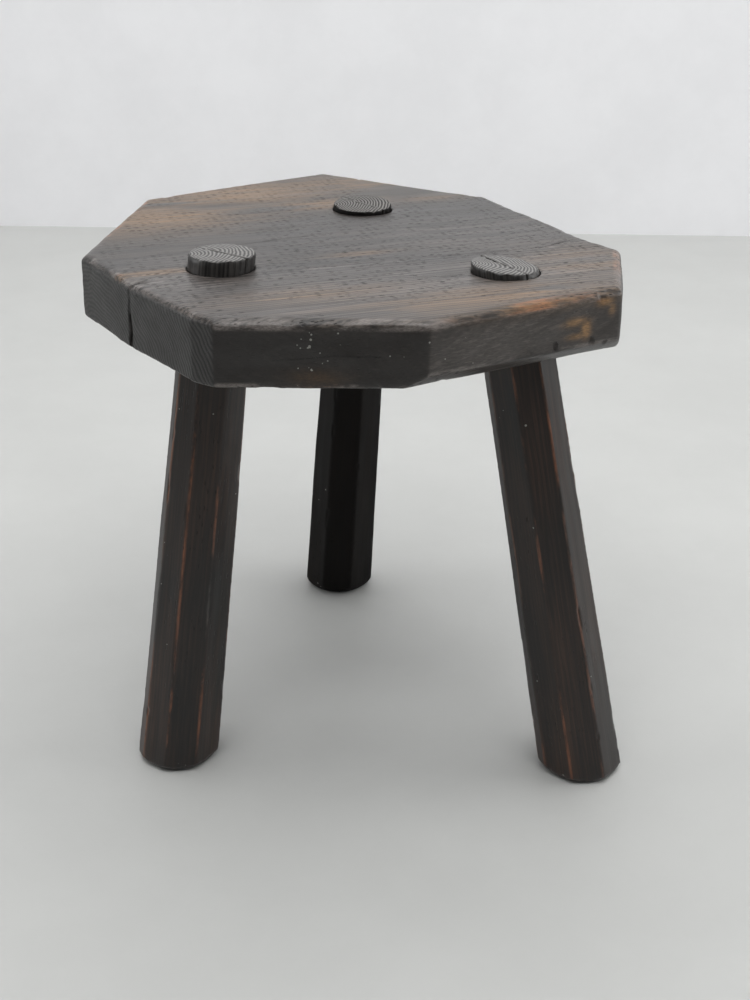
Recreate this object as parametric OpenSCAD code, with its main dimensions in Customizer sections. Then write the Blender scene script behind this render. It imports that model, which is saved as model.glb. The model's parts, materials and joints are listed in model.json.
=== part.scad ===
// Three-legged slab stool, hewn from solid wood.
// Millimetres, +Z up, the floor at z = 0.  The origin is under the middle of the whole stool.
// A thick eight-sided plank is the seat.  Three hewn, eight-sided legs splay outwards, and each
// one ends in a round tenon that passes through the plank, stands proud of it and is spread by
// a hardwood wedge driven from above.

/* [Seat] */
// Height of the seat's top face above the floor
seat_h = 400; // [360:5:460]
// Thickness of the plank
seat_t = 48; // [36:1:56]
// Length of the plank from left to right
seat_w = 412; // [400:2:460]
// Depth of the plank from front to rear
seat_d = 443; // [430:1:480]
// Size of the worn-off arris round the top
arris = 5; // [3:0.5:9]
// Size of the arris round the bottom
low_arris = 2; // [1:0.5:5]
// Size of the larger wane left under the front right edge
wane = 10; // [6:1:16]

/* [Legs] */
// Diameter of the round tenons and of their mortises
tenon_d = 49; // [40:1:50]
// Corner radius of the shafts at the floor
foot_r = 34; // [31:0.5:38]
// Corner radius of the shafts just under the seat
neck_r = 27.5; // [27:0.5:30]
// Size of the bevel round each foot
foot_bevel = 6.5; // [3:0.5:9]
// How far the left leg leans out, in degrees
splay_left = 8.2; // [6:0.1:13]
// How far the right leg leans out, in degrees
splay_right = 12.8; // [6:0.1:14]
// How far the rear leg leans out, in degrees
splay_rear = 11.4; // [6:0.1:13]

/* [Tenon tops] */
// How far the left tenon stands above the seat
proud_left = 11; // [3:0.5:14]
// How far the right tenon stands above the seat at its middle
proud_right = 4.5; // [3:0.5:14]
// How far the rear tenon stands above the seat at its middle
proud_rear = 5; // [3:0.5:14]

/* [Wedges] */
// Thickness of each wedge at its top
wedge_top = 2; // [2:0.5:6]
// Thickness of each wedge at its tip
wedge_tip = 1; // [0.8:0.1:2]
// Depth of each wedge below the seat's top face
wedge_depth = 32; // [20:1:34]

/* [Hidden] */
$fn = 96;

underside = seat_h - seat_t;
// The grain of the plank runs from left to right, turned this much towards the rear.
grain = 21;
// How far the round stems are drawn into the shafts, and above the seat before they are sawn off.
stem_below = 12;
stem_above = 30;
// How far a wedge stands above the saw cut of its tenon.
wedge_stand = 0.5;
// A margin by which every cutting tool passes through what it cuts.
over = 1;

// Corners of the plank, clockwise from its left end, as shares of its half length and half depth.
CORNERS = [[-1.035, -0.327], [-0.938, 0.491], [-0.213, 1.002], [0.4995, 0.612], [0.955, -0.15],
           [0.886, -0.615], [0.214, -0.989], [-0.476, -1.0], [-0.556, -0.948], [-0.8045, -0.6536]];
outline = [for (c = CORNERS) [c.x * seat_w / 2, c.y * seat_d / 2]];
// Radius worn onto the upright corners.
corner_r = 5;
// Corners at the two ends of the edge that carries the wane, and the corner where the end has split.
WANE = [outline[5], outline[6]];
SPLIT = outline[9];

// Each leg: centre of its tenon on the seat's top face, direction and angle of its lean, height of
// its cut top, the tilt of that cut about X and Y, and the direction of its wedge.  The wedges lie
// well across the grain, so that they do not split the plank.
LEFT = [[-0.51 * seat_w / 2, -0.4455 * seat_d / 2], 219.5, splay_left, proud_left, [0, 0], -36];
RIGHT = [[0.4965 * seat_w / 2, -0.439 * seat_d / 2], 328.7, splay_right, proud_right, [0, 5], -53];
REAR = [[-0.023 * seat_w / 2, 0.379 * seat_d / 2], 105.3, splay_rear, proud_rear, [4, 0], -41];

// Directions of the flats hewn on each shaft, and the distance of each flat from the axis
// as a share of the corner radius.  Narrow flats lie further out than broad ones.
LEFT_FLATS = [[205, 0.98], [237, 0.94], [279, 0.935], [323, 0.92], [12, 0.9], [64, 0.9], [116, 0.9], [168, 0.87]];
RIGHT_FLATS = [[203, 0.985], [233, 0.93], [277, 0.925], [323, 0.92], [12, 0.9], [64, 0.9], [116, 0.9], [168, 0.9]];
REAR_FLATS = [[220, 0.93], [266, 0.915], [316, 0.9], [4, 0.93], [47, 0.93], [90, 0.93], [133, 0.93], [176, 0.93]];

function top_of(leg) = leg[0];
function axis_length(leg) = seat_h / cos(leg[2]);

// Puts its children on a leg's axis: their origin is where the axis meets the floor.
module on_leg(leg) {
    run = seat_h * tan(leg[2]);
    foot = top_of(leg) + run * [cos(leg[1]), sin(leg[1])];
    translate([foot.x, foot.y, 0])
        rotate([0, 0, leg[1]])
            rotate([0, -leg[2], 0])
                rotate([0, 0, -leg[1]])
                    children();
}

// The round stem that passes through the seat, from inside the shaft to above the cut top.
module stem(leg) {
    on_leg(leg)
        translate([0, 0, axis_length(leg) - seat_t - stem_below])
            cylinder(d = tenon_d, h = stem_below + seat_t + stem_above);
}

// Everything above the saw cut across a tenon, raised by an allowance.
module above_cut(leg, allowance = 0) {
    side = 4 * tenon_d;
    translate([top_of(leg).x, top_of(leg).y, seat_h + leg[3] + allowance])
        rotate([leg[4].x, leg[4].y, 0])
            translate([-side / 2, -side / 2, 0])
                cube([side, side, side]);
}

// The tapering slot across a tenon, which the wedge fills.
module kerf(leg) {
    length = tenon_d + 4 * over;
    height = leg[3] + stem_above;
    slope = (wedge_top - wedge_tip) / 2 / wedge_depth;
    half_top = wedge_top / 2 + slope * height;
    on_leg(leg)
        translate([0, 0, axis_length(leg)])
            rotate([90, 0, leg[5] + 90])
                translate([0, 0, -length / 2])
                    linear_extrude(length)
                        polygon([[-wedge_tip / 2, -wedge_depth], [wedge_tip / 2, -wedge_depth],
                                 [half_top, height], [-half_top, height]]);
}

// An eight-sided shaft that tapers upwards, with a bevelled foot, cut off under the seat.
module shaft(leg, flats) {
    blank_r = 2 * foot_r;
    length = axis_length(leg);
    neck_z = length - seat_t;
    run = seat_h * tan(leg[2]);
    foot = top_of(leg) + run * [cos(leg[1]), sin(leg[1])];
    intersection() {
        on_leg(leg)
            difference() {
                translate([0, 0, -foot_r])
                    cylinder(r = 1.5 * foot_r, h = length + foot_r);
                for (flat = flats)
                    rotate([0, 0, flat[0]])
                        translate([foot_r * flat[1], 0, 0])
                            rotate([0, -atan((foot_r - neck_r) * flat[1] / neck_z), 0])
                                translate([0, -blank_r, -2 * foot_r])
                                    cube([blank_r, 2 * blank_r, length + 4 * foot_r]);
            }
        // A cone that opens at 45 degrees leaves the bevel round the foot.
        translate([foot.x, foot.y, 0])
            cylinder(r1 = foot_r - foot_bevel, r2 = foot_r - foot_bevel + underside, h = underside);
    }
}

module leg(leg, flats) {
    shaft(leg, flats);
    difference() {
        stem(leg);
        above_cut(leg);
        kerf(leg);
    }
}

module wedge(leg) {
    difference() {
        intersection() {
            stem(leg);
            kerf(leg);
        }
        above_cut(leg, wedge_stand);
    }
}

// The plank's outline with its corners rounded, drawn in by an inset.
module plan(inset) {
    offset(r = corner_r, $fn = 32)
        offset(delta = -corner_r - inset)
            polygon(outline);
}

// The plank with its arrises worn off, more round the top than round the bottom.
module plank() {
    hull() {
        translate([0, 0, underside])
            linear_extrude(seat_t)
                plan(arris);
        translate([0, 0, underside])
            linear_extrude(seat_t - low_arris)
                plan(low_arris);
        translate([0, 0, underside + low_arris])
            linear_extrude(seat_t - low_arris - arris)
                plan(0);
    }
}

// A square bar laid on edge takes off the wane along one lower edge.
module wane_bar() {
    run = WANE[1] - WANE[0];
    bar = wane * sqrt(2);
    translate([WANE[0].x, WANE[0].y, underside])
        rotate([0, 0, atan2(run.y, run.x)])
            translate([-2 * wane, 0, 0])
                rotate([45, 0, 0])
                    translate([0, -bar / 2, -bar / 2])
                        cube([norm(run) + 4 * wane, bar, bar]);
}

// The drying split in the left end: it opens downwards and follows the grain inwards.
module end_split() {
    depth = 26;
    translate([SPLIT.x, SPLIT.y, 0])
        rotate([90, 0, grain + 90])
            translate([0, 0, -over - arris])
                linear_extrude(depth + over + arris)
                    polygon([[-0.8, seat_h + over], [0.8, seat_h + over],
                             [2, underside - over], [-2, underside - over]]);
}

// The long shallow check in the top face, along the grain between the left and right tenons.
module top_check() {
    length = 200;
    depth = 3;
    translate([-0.21 * seat_w / 2, -0.455 * seat_d / 2, seat_h])
        rotate([90, 0, grain + 90])
            linear_extrude(length)
                polygon([[-0.7, over], [0.7, over], [0, -depth]]);
}

module seat() {
    color("#5b5148")
        difference() {
            plank();
            wane_bar();
            for (leg = [LEFT, RIGHT, REAR])
                stem(leg);
            end_split();
            top_check();
        }
}

module leg_left() {
    color("#2b211b")
        leg(LEFT, LEFT_FLATS);
}

module leg_right() {
    color("#2b211b")
        leg(RIGHT, RIGHT_FLATS);
}

module leg_rear() {
    color("#2b211b")
        leg(REAR, REAR_FLATS);
}

module wedge_left() {
    color("#8d8378")
        wedge(LEFT);
}

module wedge_right() {
    color("#8d8378")
        wedge(RIGHT);
}

module wedge_rear() {
    color("#8d8378")
        wedge(REAR);
}

seat();
leg_left();
leg_right();
leg_rear();
wedge_left();
wedge_right();
wedge_rear();
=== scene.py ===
"""Looks for the three-legged slab stool: hewn wood, stained nearly black and worn by use.

Each CAD solid is resampled as a fine mesh, and its surface is then worked as the real wood is:
the arrises are rounded and chipped, the hewn faces waver, and drying cracks are cut into it.
These measures stay on every vertex, for the materials to read:

    grain   its place along and across the fibres, in metres
    wear    how near it is to an arris, to be worn bare, and light grey there as a painted highlight where it is not warm
    warm    how far the stain is rubbed orange
    pale    how far the stain is made grey, partly worn and partly painted sheen
    specks  how thick the specks of paint lie
    tone    how light the stain is, from 0 for black to 1, with painted shade on the upright faces and the rear leg
    side    how upright the face is
    end     1 where the fibres end at the surface
"""

import json
import math

import bpy
import numpy as np
from mathutils import Matrix, Vector
from mathutils.kdtree import KDTree


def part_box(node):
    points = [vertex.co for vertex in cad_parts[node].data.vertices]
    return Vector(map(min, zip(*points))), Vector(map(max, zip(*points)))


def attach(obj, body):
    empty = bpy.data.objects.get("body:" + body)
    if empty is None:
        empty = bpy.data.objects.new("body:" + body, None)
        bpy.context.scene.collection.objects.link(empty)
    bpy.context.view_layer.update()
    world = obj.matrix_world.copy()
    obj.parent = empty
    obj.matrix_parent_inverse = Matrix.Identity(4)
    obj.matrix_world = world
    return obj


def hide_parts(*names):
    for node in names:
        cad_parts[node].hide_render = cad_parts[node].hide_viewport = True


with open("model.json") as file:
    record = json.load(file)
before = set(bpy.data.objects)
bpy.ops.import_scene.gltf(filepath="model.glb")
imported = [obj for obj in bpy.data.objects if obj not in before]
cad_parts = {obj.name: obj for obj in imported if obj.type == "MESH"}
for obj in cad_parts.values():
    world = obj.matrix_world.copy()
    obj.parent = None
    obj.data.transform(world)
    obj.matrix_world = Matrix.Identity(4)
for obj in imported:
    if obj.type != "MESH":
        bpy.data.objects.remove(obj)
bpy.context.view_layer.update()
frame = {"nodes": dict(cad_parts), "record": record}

MM = 0.001
SEAT_LOW, SEAT_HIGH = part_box("seat")
SEAT_TOP = SEAT_HIGH.z
SEAT_BOTTOM = SEAT_LOW.z
GRAIN_TURN = math.radians(21)
GRAIN = np.array([math.cos(GRAIN_TURN), math.sin(GRAIN_TURN), 0.0])
ACROSS = np.array([-math.sin(GRAIN_TURN), math.cos(GRAIN_TURN), 0.0])
UP = np.array([0.0, 0.0, 1.0])
LEGS = ("leg_left", "leg_right", "leg_rear")


# ---------------------------------------------------------------- noise


# Large odd numbers that scatter the bits of a cell's place and of the seed.
AXIS_HASH = np.array([73856093, 19349663, 83492791])
SEED_HASH = 2654435761
ROUND_HASHES = ((13, 1274126177), (16, 2246822519))
WORD = 0xFFFFFFFF
HALF_RANGE = 32767.5


def lattice(cell, seed):
    """A repeatable random number from -1 to 1 for each whole-numbered cell."""
    h = cell.astype(np.int64) * AXIS_HASH
    h = h[:, 0] ^ h[:, 1] ^ h[:, 2] ^ (seed * SEED_HASH)
    for shift, factor in ROUND_HASHES:
        h = (h ^ (h >> shift)) * factor & WORD
    return ((h >> 8) & 0xFFFF) / HALF_RANGE - 1.0


def noise(points, size, seed):
    """Smooth noise from -1 to 1 with features of the given size, one number or one per axis."""
    seed_shift = 0.37
    q = points / np.broadcast_to(size, 3) + seed_shift * seed
    cell = np.floor(q)
    f = q - cell
    f = f * f * (3 - 2 * f)
    total = np.zeros(len(points))
    for corner in np.ndindex(2, 2, 2):
        c = np.array(corner)
        weight = np.prod(np.where(c == 1, f, 1 - f), axis=1)
        total += weight * lattice(cell + c, seed)
    return total


def rough(points, size, seed, octaves=3):
    """Noise with finer and fainter noise laid over it."""
    size = np.broadcast_to(size, 3).astype(float)
    return sum(noise(points, size / 2**k, seed + k) / 2**k for k in range(octaves))


def waves(points, height, sizes, seed, octaves=1):
    """How far a surface rises and falls. The height and the sizes of the waves are in millimetres."""
    return height * MM * rough(points, np.array(sizes) * MM, seed, octaves)


def ramp(value, low, high):
    """0 below low, 1 above high, smooth between."""
    t = np.clip((value - low) / (high - low), 0, 1)
    return t * t * (3 - 2 * t)


# ---------------------------------------------------------------- meshes


def points_of(mesh):
    co = np.empty(len(mesh.vertices) * 3, np.float32)
    mesh.vertices.foreach_get("co", co)
    return co.reshape(-1, 3).astype(float)


def normals_of(mesh):
    no = np.empty(len(mesh.vertices) * 3, np.float32)
    mesh.vertex_normals.foreach_get("vector", no)
    return no.reshape(-1, 3).astype(float)


def move_to(mesh, points):
    mesh.vertices.foreach_set("co", points.astype(np.float32).ravel())
    mesh.update()


def settled(obj):
    """The object's mesh with its modifiers worked in, as a new mesh; the modifiers are removed."""
    bpy.context.view_layer.update()
    graph = bpy.context.evaluated_depsgraph_get()
    made = bpy.data.meshes.new_from_object(obj.evaluated_get(graph))
    old = obj.data
    obj.modifiers.clear()
    obj.data = made
    bpy.data.meshes.remove(old)
    return made


def new_object(name, mesh):
    obj = bpy.data.objects.new(name, mesh)
    bpy.context.scene.collection.objects.link(obj)
    return obj


def resampled(name, nodes, voxel, soften):
    """A fine even mesh of one or more CAD solids, its arrises softened by rounds of smoothing."""
    verts, faces = [], []
    for node in nodes:
        source = frame["nodes"][node].data
        faces += [[v + len(verts) for v in f.vertices] for f in source.polygons]
        verts += [tuple(v.co) for v in source.vertices]
    mesh = bpy.data.meshes.new(name)
    mesh.from_pydata(verts, [], faces)
    mesh.update()
    obj = new_object(name, mesh)
    remesh = obj.modifiers.new("resample", "REMESH")
    remesh.mode = "VOXEL"
    remesh.voxel_size = voxel
    remesh.use_smooth_shade = True
    smooth = obj.modifiers.new("soften", "SMOOTH")
    smooth.factor = 0.5
    smooth.iterations = soften
    settled(obj)
    return obj


def arrises(node, longer_than):
    """The long sharp edges of a CAD solid, as an array of pairs of end points."""
    sharp = math.cos(math.radians(18))
    same_spot = 0.01 * MM
    source = frame["nodes"][node].data
    p = points_of(source)
    spot = [tuple(q) for q in np.round(p / same_spot).astype(int)]
    shared = {}
    for face in source.polygons:
        ring = list(face.vertices)
        for a, b in zip(ring, ring[1:] + ring[:1]):
            shared.setdefault(frozenset((spot[a], spot[b])), []).append((a, b, face.normal.copy()))
    found = []
    for sides in shared.values():
        a, b, normal = sides[0]
        bent = len(sides) == 2 and normal.dot(sides[1][2]) < sharp
        if bent and np.linalg.norm(p[a] - p[b]) > longer_than:
            found.append((p[a], p[b]))
    return np.array(found)


def edge_wear(points, node, longer_than, width):
    """1 on the arrises of a CAD solid, falling away smoothly over the given width."""
    marks = []
    spacing = 0.5 * MM
    for a, b in arrises(node, longer_than):
        count = max(2, int(np.linalg.norm(b - a) / spacing))
        marks += list(a + (b - a) * np.linspace(0, 1, count)[:, None])
    tree = KDTree(len(marks))
    for i, mark in enumerate(marks):
        tree.insert(mark, i)
    tree.balance()
    nearest = np.array([tree.find(p)[2] for p in points])
    return np.exp(-((nearest / width) ** 2))


def keep(mesh, name, values):
    """Stores a number or a vector per vertex, for the materials to read."""
    kind = "FLOAT" if values.ndim == 1 else "FLOAT_VECTOR"
    layer = mesh.attributes.new(name, kind, "POINT")
    layer.data.foreach_set("value" if values.ndim == 1 else "vector", values.astype(np.float32).ravel())


# How a crack's blade wanders off its line and varies in width, and over what lengths.
WANDER, WANDER_LENGTH = 0.6 * MM, 9 * MM
VARY, VARY_LENGTH = 0.35, 6 * MM
BLADE_STEP = 2.5 * MM
# How far a blade stands out of the surface that it cuts.
BLADE_PROUD = 1.5 * MM


def blade(path, inward, width, depth, seed):
    """A thin wavy wedge, as vertices and faces, to cut one crack: it follows the path on a surface
    and goes in by depth. It narrows towards both ends, and width is one number or one per end."""
    path = np.array(path, float)
    steps = np.r_[0, np.cumsum(np.linalg.norm(np.diff(path, axis=0), axis=1))]
    count = max(6, int(steps[-1] / BLADE_STEP))
    s = np.linspace(0, steps[-1], count)
    line = np.stack([np.interp(s, steps, path[:, k]) for k in range(3)], axis=1)
    inward = np.array(inward, float) / np.linalg.norm(inward)
    tangent = np.gradient(line, axis=0)
    side = np.cross(tangent, inward)
    side /= np.linalg.norm(side, axis=1)[:, None]
    line += side * (WANDER * rough(line, WANDER_LENGTH, seed))[:, None]
    t = s / steps[-1]
    share = np.minimum(1, np.minimum(t, 1 - t) * 6) ** 0.6 + 0.02
    half = 0.5 * np.interp(t, [0, 1], np.broadcast_to(width, 2)) * share
    half *= 1 + VARY * rough(line, VARY_LENGTH, seed + 7)
    wider = 1 + BLADE_PROUD / depth
    corners = [
        line + side * half[:, None] * wider - inward * BLADE_PROUD,
        line - side * half[:, None] * wider - inward * BLADE_PROUD,
        line + inward * (depth * share)[:, None],
    ]
    verts = np.stack(corners, axis=1).reshape(-1, 3)
    faces = [(0, 1, 2), (3 * count - 1, 3 * count - 2, 3 * count - 3)]
    for i in range(count - 1):
        for k in range(3):
            a, b = 3 * i + k, 3 * i + (k + 1) % 3
            faces.append((a, a + 3, b + 3, b))
    return verts, faces


def cut_out(obj, verts, faces):
    """Cuts a closed shape out of the piece."""
    mesh = bpy.data.meshes.new("tool")
    mesh.from_pydata(np.asarray(verts).tolist(), [], faces)
    mesh.update()
    tool = new_object("tool", mesh)
    cut = obj.modifiers.new("cut", "BOOLEAN")
    cut.operation = "DIFFERENCE"
    cut.solver = "MANIFOLD"
    cut.object = tool
    settled(obj)
    bpy.data.objects.remove(tool)
    bpy.data.meshes.remove(mesh)


def clamp_to_box(obj, low, high):
    """Keeps a worked mesh inside its CAD solid's own box."""
    move_to(obj.data, np.clip(points_of(obj.data), np.array(low), np.array(high)))


def shade(obj, angle=50):
    """Smooth shading, with the edges sharper than the angle kept."""
    mesh = obj.data
    mesh.polygons.foreach_set("use_smooth", np.ones(len(mesh.polygons), bool))
    mesh.set_sharp_from_angle(angle=math.radians(angle))


# ---------------------------------------------------------------- seat

# How fine the resampled meshes are; COARSE scales all three.
COARSE = 1.0
SEAT_VOXEL = 1.4 * MM * COARSE
LEG_VOXEL = 1.2 * MM * COARSE
WEDGE_VOXEL = 0.45 * MM * COARSE


def on_top(x, y):
    return (x * MM, y * MM, SEAT_TOP)


# The directions that the upright faces look in, from the split end round to the right end.
END_OUT = np.array([-0.82, -0.57, 0.0])
FRONT_OUT = np.array([0.02, -1.0, 0.0])
WANE_OUT = np.array([0.51, -0.86, 0.0])

# Drying checks in the top face: points along each, then its width, its depth and a seed.
TOP_CHECKS = (
    (((-44, -104), (48, -70), (136, -31), (168, -3)), 1.4, 6, 3),
    (((16, -121), (48, -115), (77, -109)), (0.7, 2.2), 4, 5),
    (((-166, -150), (-150, -128), (-131, -106)), (2.6, 0.9), 7, 8),
    (((-134, -205), (-124, -188), (-109, -177)), 0.9, 3, 11),
    (((165, -94), (176, -92), (188, -91)), 0.8, 3, 13),
    (((-104, -41), (-66, -19), (-29, 1)), 0.7, 2, 17),
    (((-60, 60), (0, 84), (40, 101)), 0.6, 2, 18),
)
# Splits, checks and small holes in the upright faces: the same, and the way that the face looks.
SIDE_CHECKS = (
    (((-165, -144, 408), (-165, -144, 380), (-164, -146, 344)), END_OUT, (3, 8), 24, 19),
    (((-133, -187, 398), (-132, -188, 375), (-133, -187, 362)), END_OUT, 0.9, 4, 23),
    (((-183, -118, 392), (-184, -117, 374)), END_OUT, 0.7, 3, 29),
    (((-60, -220, 372), (-20, -219, 376), (10, -219, 375)), FRONT_OUT, 0.8, 3, 37),
    (((131, -166, 366), (137, -163, 365)), WANE_OUT, 6, 6, 41),
    (((158, -149, 364), (163, -146, 364)), WANE_OUT, 6, 5, 43),
    (((169, -143, 361), (173, -140, 361)), WANE_OUT, 6, 5, 47),
    (((113, -178, 365), (119, -175, 364)), WANE_OUT, 3, 4, 53),
)


def seat_cracks():
    """The blades that cut the seat's checks, splits and holes."""
    for path, width, depth, seed in TOP_CHECKS:
        yield blade([on_top(*xy) for xy in path], -UP, np.array(width) * MM, depth * MM, seed)
    for path, outward, width, depth, seed in SIDE_CHECKS:
        yield blade(np.array(path) * MM, -outward, np.array(width) * MM, depth * MM, seed)


def hollow_edge(points):
    """The rear right edge is hewn slightly hollow where two cuts met."""
    start = np.array([103, 136]) * MM
    end = np.array([197, -33]) * MM
    reach = 45 * MM
    length = np.linalg.norm(end - start)
    run = (end - start) / length
    outward = np.array([-run[1], run[0]])
    along = (points[:, :2] - start) @ run / length
    inside = -((points[:, :2] - start) @ outward)
    dip = np.interp(along, [0.0, 0.4, 0.76, 0.95, 1.0], [0, 2.0, 5.5, 1.0, 0]) * MM
    near = 1 - ramp(inside, 0, reach)
    return np.c_[-outward[None, :] * (dip * near)[:, None], np.zeros(len(points))]


def off_tenon_axis(points, node):
    """Distance of each point from the axis of a leg."""
    foot, along = axis_of(node)
    rel = points - foot
    return np.linalg.norm(rel - np.outer(rel @ along, along), axis=1)


def spots(grainwise, table):
    """Soft spots of stain, wear and painted sheen: each row has a place, its half sizes along the grain,
    across it and upwards, all in millimetres, and a strength."""
    total = np.zeros(len(grainwise))
    for place, sizes, strength in table:
        centre = np.array(place) * MM
        centre = np.array([centre @ GRAIN, centre @ ACROSS, centre[2]])
        away = (grainwise - centre) / (np.array(sizes) * MM)
        total = np.maximum(total, strength * np.exp(-(away**2).sum(axis=1)))
    return total


# Where use has rubbed the stain orange.
WARM_SPOTS = (
    ((-175, 45, 400), (85, 52, 9), 1.0),
    ((-120, 125, 400), (110, 40, 9), 1.0),
    ((-25, 175, 400), (75, 30, 9), 0.9),
    ((-40, 100, 400), (48, 22, 9), 0.9),
    ((-152, -116, 400), (36, 6, 9), 1.0),
    ((-40, -165, 400), (65, 18, 9), 0.55),
    ((90, -160, 400), (95, 22, 9), 0.8),
    ((165, -70, 400), (48, 36, 9), 0.6),
    ((-5, -57, 400), (26, 5, 9), 0.8),
    ((60, 128, 400), (40, 12, 9), 0.4),
    ((120, -175, 398), (75, 14, 3.5), 1.0),
    ((147, -158, 381), (10, 9, 3), 1.3),
    ((156, -152, 374), (4, 9, 6), 1.6),
    ((150, -156, 370), (8, 9, 2), 1.1),
    ((170, -146, 392), (7, 9, 3), 1.4),
    ((176, -143, 386), (3, 9, 4), 1.1),
    ((-30, -221, 360), (26, 9, 6), 0.8),
)
# Where the stain is made grey: partly worn by use, partly painted sheen on the top's front and along the
# front arris.
PALE_AND_SHEEN_SPOTS = (
    ((10, -150, 400), (200, 66, 10), 1.0),
    ((145, -90, 400), (95, 62, 10), 1.0),
    ((-125, -140, 400), (70, 58, 10), 1.0),
    ((70, 10, 400), (120, 50, 10), 0.5),
    ((-30, -221, 396), (120, 12, 5), 1.0),
    ((85, -190, 380), (60, 26, 30), 0.35),
)
# Where the stain has stayed dark.
DARK_SPOTS = (
    ((-125, 88, 400), (40, 9, 9), 0.6),
    ((35, 170, 400), (60, 14, 9), 0.45),
    ((-60, 30, 400), (70, 18, 9), 0.3),
    ((60, 75, 400), (120, 26, 9), 0.3),
    ((60, -105, 400), (26, 10, 9), 0.45),
)
# Where specks of paint lie.
SPECK_SPOTS = (
    ((-34, -221, 377), (13, 9, 16), 1.0),
    ((20, -219, 378), (60, 9, 14), 0.35),
    ((90, -190, 366), (30, 14, 8), 0.2),
)

# Painted light and shade on each upright face: how far its stain is darkened, by the direction that the face
# looks in.
PAINTED_FACE_SHADES = (
    ((-0.82, -0.57), 0.3), ((0.02, -1.0), 0.32), ((0.51, -0.86), 0.95), ((0.99, -0.15), 0.7),
    ((0.87, 0.49), 0.55), ((0.5, 0.87), 0.5), ((-0.59, 0.81), 0.55), ((-0.99, 0.10), 0.55),
)


def upright(normals):
    """0 on level faces, 1 on upright ones."""
    return ramp(1 - np.abs(normals[:, 2]), 0.35, 0.8)


def painted_face_shade(normals):
    """Painted light and shade by facing: full on level faces, and darkened on upright ones as the table says.
    """
    flat = normals[:, :2] / np.maximum(np.linalg.norm(normals[:, :2], axis=1), 1e-6)[:, None]
    weight, total = np.full(len(normals), 1e-6), np.zeros(len(normals))
    for direction, value in PAINTED_FACE_SHADES:
        share = np.clip(flat @ np.array(direction), 0, 1) ** 24
        weight += share
        total += share * value
    side = upright(normals)
    return 1 - side + side * total / weight


def make_seat():
    seat = resampled("seat_plank", ["seat"], SEAT_VOXEL, 3)
    p = points_of(seat.data)
    n = normals_of(seat.data)
    arris = edge_wear(p, "seat", longer_than=20 * MM, width=2.6 * MM)
    for node in LEGS:
        round_the_mortise = 1 - ramp(off_tenon_axis(p, node), 27 * MM, 33 * MM)
        arris *= 1 - round_the_mortise

    grainwise = np.stack([p @ GRAIN, p @ ACROSS, p[:, 2]], axis=1)
    side = upright(n)
    under = ramp(-n[:, 2], 0.5, 0.9)
    highest_lift = 0.4 * MM
    lift = waves(grainwise, 0.5, (140, 45, 60), 2, 2)
    lift += waves(grainwise, 0.2, (60, 9, 9), 6) * (1 - side)
    lift += waves(p, 0.8, (34, 34, 22), 9, 3) * side
    lift += waves(grainwise, 0.8, (90, 22, 22), 12, 3) * under
    chips = ramp(rough(p, 16 * MM, 21, 4), 0.45, 0.9)
    lift -= arris * (0.1 + 0.7 * chips) * MM
    lift -= arris * np.abs(waves(p, 0.15, 7, 33, 3))
    p = p + n * np.minimum(lift, highest_lift)[:, None]
    p += hollow_edge(p)
    move_to(seat.data, p)

    keep(seat.data, "grain", grainwise)
    keep(seat.data, "wear_and_highlight", arris)
    keep(seat.data, "warm", spots(grainwise, WARM_SPOTS))
    keep(seat.data, "pale_and_sheen", spots(grainwise, PALE_AND_SHEEN_SPOTS))
    keep(seat.data, "specks", spots(grainwise, SPECK_SPOTS))
    # The tone holds the dark stain spots and the painted shade of the upright faces.
    keep(seat.data, "tone_and_shade", painted_face_shade(n) * (1 - spots(grainwise, DARK_SPOTS)))
    keep(seat.data, "side", side)
    for verts, faces in seat_cracks():
        cut_out(seat, verts, faces)
    clamp_to_box(seat, SEAT_LOW, SEAT_HIGH)
    shade(seat)
    return seat


# ---------------------------------------------------------------- legs and wedges


MOUNTS = {mount["name"]: np.array(mount["pos_m"]) for mount in frame["record"]["mounts"]}


def axis_of(node):
    """Foot centre of a leg, from its mount, and the direction from there to its tenon's top."""
    p = points_of(frame["nodes"][node].data)
    foot = MOUNTS[node.replace("leg", "foot")]
    high = p[p[:, 2] > SEAT_TOP]
    head = (high.min(0) + high.max(0)) / 2
    head[2] = high[:, 2].mean()
    return foot, (head - foot) / np.linalg.norm(head - foot)


def along_leg(points, node):
    """Points as distances along a leg and in two directions across it."""
    foot, along = axis_of(node)
    across = np.cross(along, [0.0, 1.0, 0.0])
    across /= np.linalg.norm(across)
    rel = points - foot
    return np.stack([rel @ along, rel @ across, rel @ np.cross(across, along)], axis=1)


def tenon_head(points):
    """1 on what stands above the seat, fading to 0 just below the seat's top."""
    return ramp(points[:, 2], SEAT_TOP - 4 * MM, SEAT_TOP)


def cut_kerf(leg, wedge_node):
    """Saws the kerf in a tenon, in the shape of its wedge with a very little room to spare."""
    slightly_larger = 1.012
    wedge = frame["nodes"][wedge_node].data
    corners = points_of(wedge)
    middle = corners.mean(0)
    faces = [list(face.vertices) for face in wedge.polygons]
    cut_out(leg, middle + (corners - middle) * slightly_larger, faces)


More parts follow.
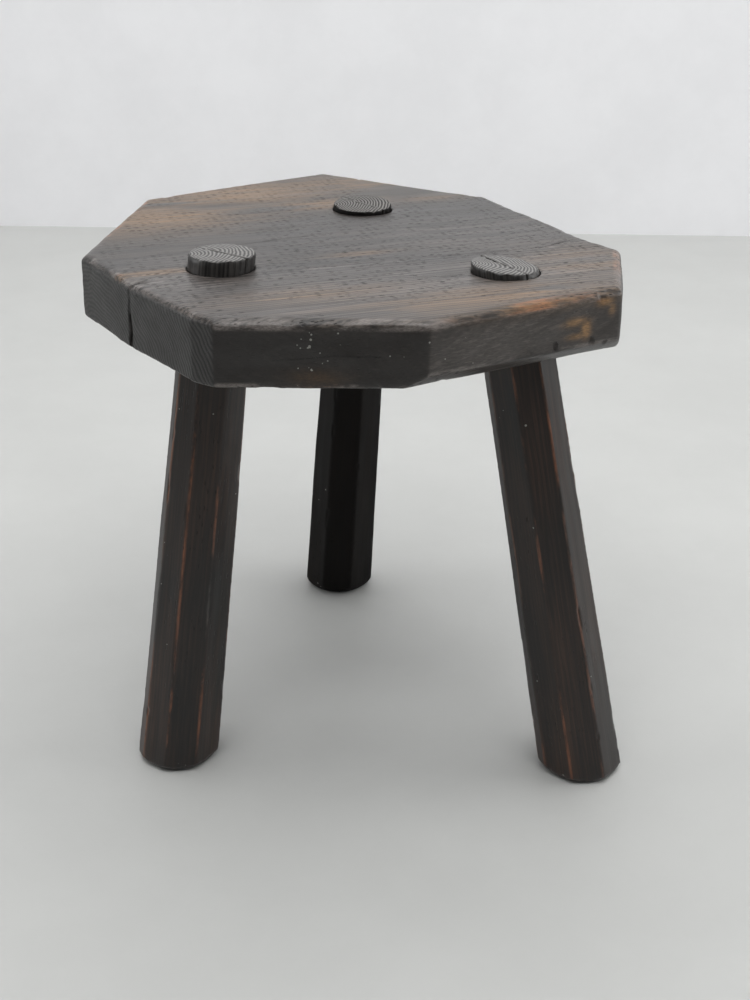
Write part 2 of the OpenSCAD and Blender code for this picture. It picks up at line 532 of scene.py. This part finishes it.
def make_leg(node, seed, tone_and_shade):
    """A leg with its kerf filled before it is resampled, and sawn afterwards, so that it stays crisp."""
    wedge_node = node.replace("leg", "wedge")
    leg = resampled(f"{node}_hewn", [node, wedge_node], LEG_VOXEL, 1)
    p = points_of(leg.data)
    n = normals_of(leg.data)
    grainwise = along_leg(p, node)
    arris = edge_wear(p, node, longer_than=60 * MM, width=1.5 * MM)
    rim = edge_wear(p, node, longer_than=1 * MM, width=2 * MM)

    shaft = 1 - ramp(p[:, 2], SEAT_BOTTOM - 12 * MM, SEAT_BOTTOM - 2 * MM)
    head = tenon_head(p)
    foot_zone = 1 - ramp(p[:, 2], 2 * MM, 14 * MM)
    chips = ramp(rough(grainwise, np.array([26, 12, 12]) * MM, seed + 5, 3), 0.4, 0.9)
    lift = shaft * waves(grainwise, 0.6, (140, 30, 30), seed, 3)
    lift += shaft * waves(grainwise, 0.15, (45, 7, 7), seed + 3)
    lift -= shaft * arris * (0.1 + 1.2 * chips) * MM
    lift -= head * rim * (0.27 * MM + np.abs(waves(p, 0.9, 5, seed + 8, 3)))
    lift += head * (waves(p, 0.25, 12, seed + 9, 4) - 0.25 * MM)
    lift -= foot_zone * rim * (0.36 * MM + np.abs(waves(p, 0.9, 9, seed + 11, 3)))
    move_to(leg.data, p + n * lift[:, None])

    keep(leg.data, "grain", grainwise + np.array([seed, 0, 0]))
    keep(leg.data, "wear_and_highlight", shaft * arris * tone_and_shade)
    mottled = noise(grainwise, np.array([90, 16, 16]) * MM, seed + 13)
    keep(leg.data, "warm", shaft * (0.5 + 0.5 * mottled))
    keep(leg.data, "pale_and_sheen", 0.15 * foot_zone + head)
    keep(leg.data, "specks", shaft * (0.012 + 0.3 * foot_zone))
    keep(leg.data, "tone_and_shade", np.full(len(p), tone_and_shade))
    keep(leg.data, "side", 0.5 * shaft)
    cut_kerf(leg, wedge_node)
    clamp_to_box(leg, *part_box(node))
    shade(leg, 35)
    return leg


# A wedge shows only its end, so its measures are the same all over.
WEDGE_MEASURES = {"wear_and_highlight": 0.0, "warm": 0.0, "pale_and_sheen": 1.0, "specks": 0.0, "tone_and_shade": 1.0, "side": 0.0}


def make_wedge(node, leg_node, seed):
    """A wedge, pared off a little so that it lies level with the worn top of its tenon."""
    pared = 0.65 * MM
    wedge = resampled(f"{node}_driven", [node], WEDGE_VOXEL, 0)
    p = points_of(wedge.data)
    move_to(wedge.data, p - np.outer(tenon_head(p), UP) * pared)
    keep(wedge.data, "grain", along_leg(p, leg_node) + np.array([seed, 0, 0]))
    for measure, value in WEDGE_MEASURES.items():
        keep(wedge.data, measure, np.full(len(p), value))
    clamp_to_box(wedge, *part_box(node))
    shade(wedge)
    return wedge


# ---------------------------------------------------------------- materials


class Nodes:
    """Short calls for building one material's node tree."""

    def __init__(self, name):
        self.material = bpy.data.materials.new(name)
        self.material.use_nodes = True
        self.tree = self.material.node_tree
        self.shader = self.tree.nodes["Principled BSDF"]

    def add(self, kind, inputs=None, **settings):
        node = self.tree.nodes.new(kind)
        for key, value in settings.items():
            setattr(node, key, value)
        for key, value in (inputs or {}).items():
            if isinstance(value, bpy.types.NodeSocket):
                self.tree.links.new(value, node.inputs[key])
            else:
                node.inputs[key].default_value = value
        return node

    def math(self, operation, a, b=0.0, clamp=False):
        return self.add("ShaderNodeMath", {0: a, 1: b}, operation=operation, use_clamp=clamp).outputs[0]

    def weighted(self, *terms):
        """The sum of some values, each times its own weight."""
        total = 0.0
        for value, weight in terms:
            total = self.math("ADD", self.math("MULTIPLY", value, weight), total)
        return total

    def scaled(self, vector, factors):
        return self.add("ShaderNodeVectorMath", {0: vector, 1: factors}, operation="MULTIPLY").outputs[0]

    def noise(self, vector, features, detail=3.0, rough=0.5, distortion=0.0):
        """Noise with so many features per metre along each axis of the vector."""
        inputs = {"Vector": self.scaled(vector, features), "Scale": 1.0}
        inputs |= {"Detail": detail, "Roughness": rough, "Distortion": distortion}
        return self.add("ShaderNodeTexNoise", inputs).outputs["Fac"]

    def cells(self, vector, features):
        """Scattered cells: the distance to the nearest one's centre, and two numbers of its own."""
        inputs = {"Vector": self.scaled(vector, features), "Scale": 1.0}
        found = self.add("ShaderNodeTexVoronoi", inputs)
        own = self.add("ShaderNodeSeparateColor", {0: found.outputs["Color"]}).outputs
        return found.outputs["Distance"], own[0], own[1]

    def between(self, value, low, high, to_low=0.0, to_high=1.0):
        inputs = {"Value": value, "From Min": low, "From Max": high, "To Min": to_low, "To Max": to_high}
        return self.add("ShaderNodeMapRange", inputs, interpolation_type="SMOOTHSTEP").outputs[0]

    def mix(self, factor, a, b, mode="MIX"):
        node = self.add("ShaderNodeMix", data_type="RGBA", blend_type=mode)
        for index, value in ((0, factor), (6, a), (7, b)):
            if isinstance(value, bpy.types.NodeSocket):
                self.tree.links.new(value, node.inputs[index])
            else:
                node.inputs[index].default_value = value
        return node.outputs[2]

    def attribute(self, name, output):
        return self.add("ShaderNodeAttribute", attribute_name=name).outputs[output]

    def set(self, key, value):
        if isinstance(value, bpy.types.NodeSocket):
            self.tree.links.new(value, self.shader.inputs[key])
        else:
            self.shader.inputs[key].default_value = value


def rgb(r, g, b):
    return (r, g, b, 1.0)


def darkened(colour, share):
    return rgb(*(share * part for part in colour[:3]))


PIT_BLACK = rgb(0.004, 0.003, 0.0025)
SPECK_GREY = rgb(0.42, 0.42, 0.38)

# Features per metre: along the grain, and in the two directions across it.
FIBRES = (22.0, 1400.0, 1400.0)
STREAKS = (6.0, 400.0, 400.0)
BOARDS = (4.0, 26.0, 26.0)
WORN_PATCHES = (11.0, 60.0, 60.0)
ARRIS_BREAKS = (16.0, 60.0, 60.0)
RING_BENDS = (5.0, 22.0, 22.0)
RING_GAPS = (0.8, 70.0, 70.0)
END_MOTTLE = (1.0, 900.0, 900.0)
PITS = (150.0, 820.0, 820.0)
PIT_CROWDS = (9.0, 14.0, 14.0)
SPECKS = (340.0, 340.0, 340.0)
SPECK_SIZES = (90.0, 90.0, 90.0)


def rings(m, grain, centre, gap):
    """Growth rings: cylinders round the pith, bent and unevenly spaced. 0 to 1."""
    bend = m.noise(grain, RING_BENDS, 2.0)
    uneven = m.noise(grain, RING_GAPS, 2.0)
    parts = m.add("ShaderNodeSeparateXYZ", {0: grain})
    across = m.math("SUBTRACT", parts.outputs[1], centre[0])
    upwards = m.math("SUBTRACT", parts.outputs[2], centre[1])
    from_pith = m.math("SQRT", m.weighted((across, across), (upwards, upwards)))
    phase = m.weighted((from_pith, 2 * math.pi / gap), (bend, 26.0), (uneven, 9.0))
    return m.between(m.math("SINE", phase), -0.9, 0.9)


def pits(m, grain, side, share, crowding):
    """Short dark dashes along the grain, few and far between, and thicker in some zones."""
    distance, pick, _ = m.cells(grain, PITS)
    spot = m.between(distance, 0.42, 0.16)
    crowd = m.between(m.noise(grain, PIT_CROWDS, 2.0), crowding, crowding + 0.12)
    found = m.math("MULTIPLY", m.math("MULTIPLY", spot, m.between(pick, share, share + 0.03)), crowd)
    return m.math("MULTIPLY", found, m.between(side, 0.2, 1.0, 1.0, 0.25))


def stained(m, grain, line, cloud, dark, mid, pale_and_sheen, worn):
    """Stain between dark fibres, warm in some places and grey in others, from wear and from painted sheen,
    then darkened by its tone, which holds painted shade too.
    """
    face = m.mix(m.between(cloud, 0.0, 1.0, 0.55, 1.0), dark, mid)
    # The grey here is partly worn stain and partly painted sheen on the top's front.
    rubbed_and_sheen = m.math("MULTIPLY", m.attribute("pale_and_sheen", "Fac"), m.between(cloud, 0.0, 1.0, 0.5, 1.0))
    face = m.mix(rubbed_and_sheen, face, pale_and_sheen)
    colour = m.mix(line, dark, face)
    patch = m.noise(grain, WORN_PATCHES, 4.0, 0.6, 0.4)
    between_fibres = m.between(line, 0.0, 1.0, 0.30, 1.0)
    warm_here = m.math("MULTIPLY", m.between(patch, 0.26, 0.56), between_fibres)
    warm_here = m.math("MULTIPLY", warm_here, m.attribute("warm", "Fac"), clamp=True)
    colour = m.mix(warm_here, colour, worn)
    # The tone darkens towards the dark stain: real stain in some spots, painted shade on the upright faces
    # and on the rear leg.
    return m.mix(m.between(m.attribute("tone_and_shade", "Fac"), 0.0, 1.0), dark, colour)


def with_rubbed_and_highlit_arrises(m, grain, colour, pale_and_sheen, bare):
    """Arrises worn bare in broken stretches, orange where the face is warm too, and elsewhere light grey, a
    painted highlight.
    """
    broken = m.between(m.noise(grain, ARRIS_BREAKS, 5.0, 0.7), 0.44, 0.64)
    rub_and_highlight = m.math("MULTIPLY", m.between(m.attribute("wear_and_highlight", "Fac"), 0.2, 0.95), broken)
    # Where the face is not warm, the arris turns light grey: a painted highlight.
    rub_and_highlight_colour = m.mix(m.between(m.attribute("warm", "Fac"), 0.1, 0.6), pale_and_sheen, bare)
    return m.mix(m.math("MULTIPLY", rub_and_highlight, 0.85), colour, rub_and_highlight_colour)


def with_specks(m, grain, colour):
    """Small specks of pale paint."""
    distance, _, pick = m.cells(grain, SPECKS)
    picked = m.math("LESS_THAN", pick, m.math("MULTIPLY", m.attribute("specks", "Fac"), 0.45))
    size = m.between(m.noise(grain, SPECK_SIZES), 0.3, 0.7, 0.08, 0.30)
    speck = m.math("MULTIPLY", m.math("LESS_THAN", distance, size), picked)
    return m.mix(m.math("MULTIPLY", speck, 0.6), colour, SPECK_GREY)


def with_end_grain(m, grain, ring, end, colour, dark, end_tone):
    """Where the fibres end, the growth rings show."""
    end_colour = m.mix(m.between(ring, 0.15, 0.85), darkened(end_tone, 0.2), end_tone)
    mottle = m.between(m.noise(grain, END_MOTTLE, 2.0), 0.3, 0.7, 0.2, 0.0)
    return m.mix(end, colour, m.mix(mottle, end_colour, dark))


def wood(
    name, *, dark, mid, pale_and_sheen, worn, bare, end_tone, ring_centre, ring_gap, matt, shine,
    pit_share, pit_crowding,
):
    """Stained old wood. dark is the stain in its fibres, mid the stained face, pale the grey of wear and of
    painted sheen and highlights, worn the orange of wear, bare the arrises worn to bare wood, and end_tone
    the end grain.
    matt is the roughness that it starts from, pit_share how few of the cells hold a pit, and
    pit_crowding how few zones have pits."""
    m = Nodes(name)
    grain = m.attribute("grain", "Vector")
    side = m.attribute("side", "Fac")
    end = m.attribute("end", "Fac")
    ring = rings(m, grain, ring_centre, ring_gap)
    pit = pits(m, grain, side, pit_share, pit_crowding)

    # Fibres at three scales.
    fine = m.noise(grain, FIBRES, 3.0, 0.6)
    streak = m.noise(grain, STREAKS, 4.0, 0.6)
    board = m.noise(grain, BOARDS, 4.0, 0.6)
    cloud = m.between(board, 0.30, 0.70)
    line = m.between(m.weighted((streak, 0.80), (ring, 0.10)), 0.30, 0.60)
    line = m.math("MAXIMUM", line, m.math("MULTIPLY", side, 0.62))

    colour = stained(m, grain, line, cloud, dark, mid, pale_and_sheen, worn)
    colour = with_rubbed_and_highlit_arrises(m, grain, colour, pale_and_sheen, bare)
    colour = m.mix(m.between(fine, 0.36, 0.62, 0.45, 0.0), colour, dark)
    colour = m.mix(m.math("MULTIPLY", pit, 0.93), colour, PIT_BLACK)
    colour = with_specks(m, grain, colour)
    m.set("Base Color", with_end_grain(m, grain, ring, end, colour, dark, end_tone))

    rougher = m.weighted((streak, 0.16), (board, 0.20), (pit, 0.30), (end, 0.15))
    m.set("Roughness", m.math("ADD", rougher, matt, clamp=True))
    m.set("Specular IOR Level", shine)

    fibres = m.weighted((fine, 0.18), (streak, 0.40))
    fibres = m.math("MULTIPLY", fibres, m.between(side, 0.0, 1.0, 1.0, 0.45))
    height = m.weighted((fibres, 1.0), (m.math("MULTIPLY", ring, end), 0.35), (pit, -1.6))
    relief = {"Height": height, "Strength": 0.75, "Distance": 0.5 * MM}
    m.set("Normal", m.add("ShaderNodeBump", relief).outputs[0])
    return m.material


# The seat's light grey stands for worn stain and for painted sheen and highlights.
SEAT_WOOD = wood(
    "seat_wood", dark=rgb(0.012, 0.010, 0.009), mid=rgb(0.072, 0.061, 0.054), pale_and_sheen=rgb(0.235, 0.207, 0.190),
    worn=rgb(0.300, 0.170, 0.072), bare=rgb(0.360, 0.150, 0.062), end_tone=rgb(0.032, 0.030, 0.028),
    ring_centre=(-0.02, 0.30), ring_gap=3.1 * MM, matt=0.16, shine=0.5, pit_share=0.58, pit_crowding=0.40,
)
LEG_STAIN = dict(
    dark=rgb(0.004, 0.0035, 0.0032), mid=rgb(0.014, 0.011, 0.010), pale_and_sheen=rgb(0.080, 0.074, 0.068),
    worn=rgb(0.050, 0.024, 0.014), bare=rgb(0.250, 0.092, 0.042), end_tone=rgb(0.250, 0.240, 0.230),
    ring_centre=(0.028, -0.004), ring_gap=2.5 * MM, pit_share=0.85, pit_crowding=0.50,
)
LEG_WOOD = wood("leg_wood", matt=0.18, shine=0.5, **LEG_STAIN)
# A duller copy of the leg wood, to make the rear leg look shaded.
SHADED_REAR_LEG_WOOD = wood("leg_wood_dull_shaded", matt=0.45, shine=0.15, **LEG_STAIN)
WEDGE_WOOD = wood(
    "wedge_wood", dark=rgb(0.004, 0.0035, 0.003), mid=rgb(0.014, 0.011, 0.010), pale_and_sheen=rgb(0.080, 0.074, 0.068),
    worn=rgb(0.060, 0.040, 0.028), bare=rgb(0.120, 0.080, 0.055), end_tone=rgb(0.230, 0.220, 0.210),
    ring_centre=(0.02, 0.09), ring_gap=0.8 * MM, matt=0.34, shine=0.5, pit_share=0.9, pit_crowding=0.5,
)


def mark_ends(obj, direction, above=-math.inf):
    """Marks where the fibres, which run in the given direction, end at the surface."""
    n = normals_of(obj.data)
    p = points_of(obj.data)
    end = ramp(np.abs(n @ np.array(direction)), 0.60, 0.88) * (p[:, 2] > above)
    keep(obj.data, "end", end)


def finish_piece(obj, material, node):
    obj.data.materials.clear()
    obj.data.materials.append(material)
    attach(obj, "root")
    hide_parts(node)


# The rear leg's low tone is painted shade, for the seat's shadow over it; its duller copy of the leg wood
# shades it as well.
LEG_TONES_AND_SHADE = {"leg_left": 1.0, "leg_right": 1.0, "leg_rear": 0.25}
LEG_WOODS = {"leg_left": LEG_WOOD, "leg_right": LEG_WOOD, "leg_rear": SHADED_REAR_LEG_WOOD}
# Seeds far enough apart that no two legs are alike.
FIRST_LEG_SEED, LEG_SEED_STEP = 50, 20
FIRST_WEDGE_SEED = 7

seat = make_seat()
mark_ends(seat, GRAIN)
finish_piece(seat, SEAT_WOOD, "seat")
for number, leg_node in enumerate(LEGS):
    along = axis_of(leg_node)[1]
    leg = make_leg(leg_node, FIRST_LEG_SEED + LEG_SEED_STEP * number, LEG_TONES_AND_SHADE[leg_node])
    mark_ends(leg, along, above=SEAT_TOP - 2 * MM)
    finish_piece(leg, LEG_WOODS[leg_node], leg_node)
    wedge_node = leg_node.replace("leg", "wedge")
    wedge = make_wedge(wedge_node, leg_node, FIRST_WEDGE_SEED + number)
    mark_ends(wedge, along)
    finish_piece(wedge, WEDGE_WOOD, wedge_node)


# ---------------------------------------------------------------- stage, light and camera


def rectangle(name, corner, along, up, material):
    """A rectangle, from one of its corners along two sides."""
    corner, along, up = Vector(corner), Vector(along), Vector(up)
    mesh = bpy.data.meshes.new(name)
    mesh.from_pydata([corner, corner + along, corner + along + up, corner + up], [], [(0, 1, 2, 3)])
    mesh.update()
    mesh.materials.append(material)
    return new_object(name, mesh)


PAINT_CLOUDS = (5.0, 5.0, 5.0)


def plain_material(name, colour, roughness):
    """Paint, very slightly clouded."""
    m = Nodes(name)
    place = m.add("ShaderNodeTexCoord").outputs["Object"]
    cloud = m.noise(place, PAINT_CLOUDS, 6.0, 0.65)
    m.set("Base Color", m.mix(m.between(cloud, 0.3, 0.7), darkened(colour, 0.95), colour))
    m.set("Roughness", roughness)
    return m.material


# How far the wall stands behind the stool, and how far floor and wall reach.
WALL_Y = 1.547
REACH = 6.0
WALL_HEIGHT = 5.0

FLOOR_PAINT = plain_material("floor_paint", rgb(0.540, 0.545, 0.530), 0.55)
WALL_PAINT = plain_material("wall_paint", rgb(0.90, 0.90, 0.915), 0.8)
floor = rectangle("floor", (-REACH, -REACH, 0), (2 * REACH, 0, 0), (0, REACH + WALL_Y, 0), FLOOR_PAINT)
wall = rectangle("wall", (-REACH, WALL_Y, 0), (2 * REACH, 0, 0), (0, 0, WALL_HEIGHT), WALL_PAINT)

world = bpy.data.worlds.new("soft_room")
bpy.context.scene.world = world
world.use_nodes = True
sky = world.node_tree.nodes["Background"].inputs
sky["Color"].default_value = rgb(0.96, 0.98, 1.0)
sky["Strength"].default_value = 0.18


def area_light(name, place, target, size, watts):
    """A soft rectangular lamp that looks at its target."""
    data = bpy.data.lights.new(name, "AREA")
    data.shape = "RECTANGLE"
    data.size, data.size_y = size
    data.energy = watts
    lamp = bpy.data.objects.new(name, data)
    bpy.context.scene.collection.objects.link(lamp)
    lamp.location = place
    lamp.rotation_mode = "QUATERNION"
    lamp.rotation_quaternion = (Vector(target) - Vector(place)).to_track_quat("-Z", "Y")


area_light("ceiling", (0.1, -0.25, 2.6), (0.1, -0.25, 0), (3.2, 2.8), 48)
area_light("front_lamp", (0, -1.25, 2.7), (0, -1.05, 0), (2.4, 1.0), 13)
area_light("wall_wash", (0, 0.8, 2.3), (0, WALL_Y, 1.0), (4.0, 0.4), 14)
area_light("window_right", (2.3, 0.1, 1.1), (0, 0, 0.3), (1.6, 1.6), 20)
area_light("window_left", (-2.4, 0.1, 1.1), (0, 0, 0.3), (1.4, 1.4), 14)

CAMERA_PLACE = Vector((0.0095, -1.0896, 0.6859))
PITCH_DOWN = math.radians(25.47)
ROLL = 0.0141
SENSOR_WIDTH = 36
FOCAL_LENGTH = 50.33

camera_data = bpy.data.cameras.new("camera")
camera_data.sensor_width = SENSOR_WIDTH
camera_data.lens = FOCAL_LENGTH
camera = bpy.data.objects.new("camera", camera_data)
bpy.context.scene.collection.objects.link(camera)
camera.matrix_world = (
    Matrix.Translation(CAMERA_PLACE)
    @ Matrix.Rotation(math.pi / 2 - PITCH_DOWN, 4, "X")
    @ Matrix.Rotation(ROLL, 4, "Z")
)
bpy.context.scene.camera = camera
bpy.context.scene.view_settings.view_transform = "Standard"
